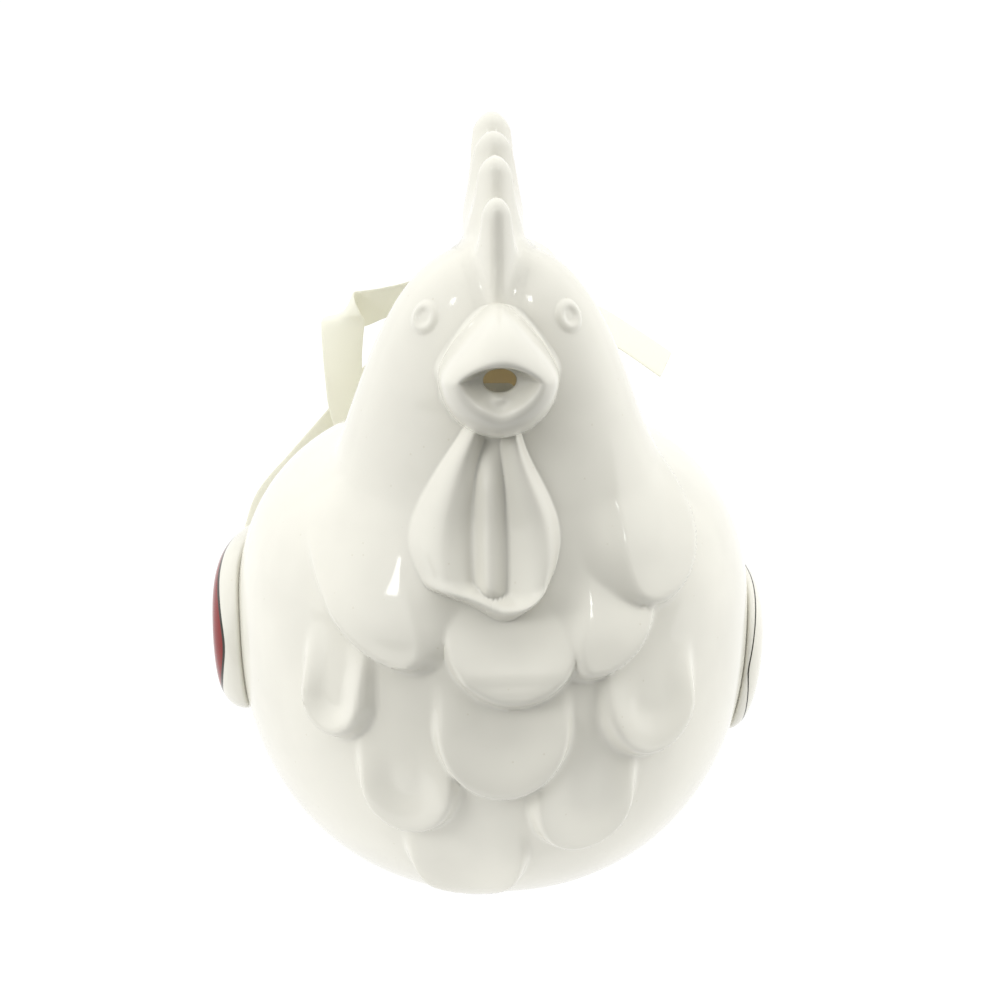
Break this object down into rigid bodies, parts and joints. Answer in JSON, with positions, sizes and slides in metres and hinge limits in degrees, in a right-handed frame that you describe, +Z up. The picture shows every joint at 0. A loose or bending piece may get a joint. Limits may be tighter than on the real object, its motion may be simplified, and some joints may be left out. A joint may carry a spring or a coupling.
{
  "type": "rooster creamer",
  "caption": "White glazed jug shaped as a rooster: the beak is the spout, the arched tail is the handle, the filling mouth sits behind the neck, and a ribbon bow is tied on the handle.",
  "frame": {"origin": "centre of the flat foot, on the table", "axes": "+Z up, -Y the way the beak points, +X to the viewer's right from the front"},
  "size_m": [0.1143, 0.1646, 0.157],
  "materials": {
    "body_glaze": "gloss",
    "beak_glaze": "gloss",
    "comb_glaze": "gloss",
    "wattle_glaze": "gloss",
    "eye_glaze": "gloss",
    "wing_glaze": "gloss",
    "handle_glaze": "gloss",
    "ribbon_satin": "satin"
  },
  "bodies": {
    "creamer": {"body_shell": "body_glaze", "beak_spout": "beak_glaze", "comb": "comb_glaze", "wattle_left": "wattle_glaze", "wattle_right": "wattle_glaze", "eye_left": "eye_glaze", "eye_right": "eye_glaze", "wing_left": "wing_glaze", "wing_right": "wing_glaze", "tail_handle": "handle_glaze"},
    "bow": {"ribbon_band": "ribbon_satin", "ribbon_knot": "ribbon_satin", "ribbon_loop_left": "ribbon_satin", "ribbon_loop_right": "ribbon_satin", "ribbon_tail_left": "ribbon_satin", "ribbon_tail_right": "ribbon_satin"}
  },
  "joints": [
    {"name": "bow_slide", "type": "hinge", "parent": "creamer", "child": "bow", "pos_m": [0, 0.072, 0.086], "axis": [1, 0, 0], "range_deg": [-45, 10]}
  ]
}
